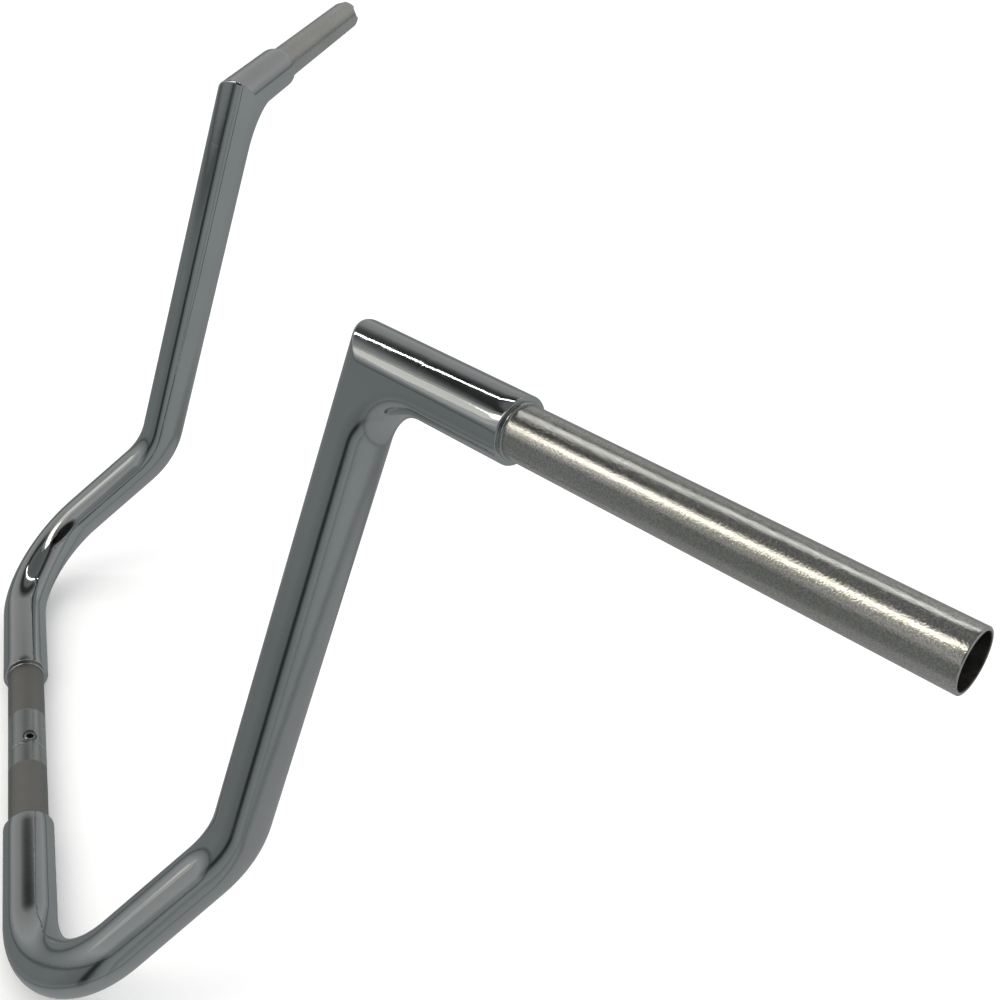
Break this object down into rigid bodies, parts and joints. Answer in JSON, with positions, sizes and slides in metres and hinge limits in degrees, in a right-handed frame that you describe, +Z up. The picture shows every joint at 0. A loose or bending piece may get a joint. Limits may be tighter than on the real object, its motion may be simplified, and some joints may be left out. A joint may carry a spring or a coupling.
{
  "type": "motorcycle handlebar",
  "caption": "Tall chromed motorcycle handlebar in two halves, with pointed upper corners, a knurled clamp section with a lock screw, and slim grip tubes swept back.",
  "frame": {"origin": "middle of the clamp section, on its axis", "axes": "+X to the rider's right along the clamp axis, +Y forwards, +Z up with the grips level"},
  "size_m": [0.9668, 0.3655, 0.4211],
  "materials": {
    "polished_chrome": "polished chrome plate over steel tube",
    "grip_chrome": "chrome plate, slightly grainy",
    "knurled_chrome": "diamond knurl under satin chrome, smooth in the middle",
    "weld": "dressed weld bead under chrome plate",
    "bare_steel": "turned bare steel, plain or zinc plated"
  },
  "bodies": {
    "left_half": {"left_clamp_tube": "knurled_chrome", "left_clamp_weld": "weld", "left_main_tube": "polished_chrome", "left_point_lower": "polished_chrome", "left_point_upper": "polished_chrome", "left_grip_tube": "grip_chrome", "left_grip_weld": "weld", "splice_sleeve": "bare_steel"},
    "right_half": {"right_clamp_tube": "knurled_chrome", "right_clamp_weld": "weld", "right_main_tube": "polished_chrome", "right_point_lower": "polished_chrome", "right_point_upper": "polished_chrome", "right_grip_tube": "grip_chrome", "right_grip_weld": "weld"},
    "lock_screw": {"lock_screw": "bare_steel"}
  },
  "joints": [
    {"name": "halves_pull_apart", "type": "slide", "parent": "left_half", "child": "right_half", "axis": [1, 0, 0], "range_m": [0, 0.05]},
    {"name": "lock_screw_turn", "type": "hinge", "parent": "right_half", "child": "lock_screw", "pos_m": [-0.002, -0.00336, 0.01173], "axis": [0, -0.2756, 0.9613], "range_deg": [0, 1080]}
  ]
}
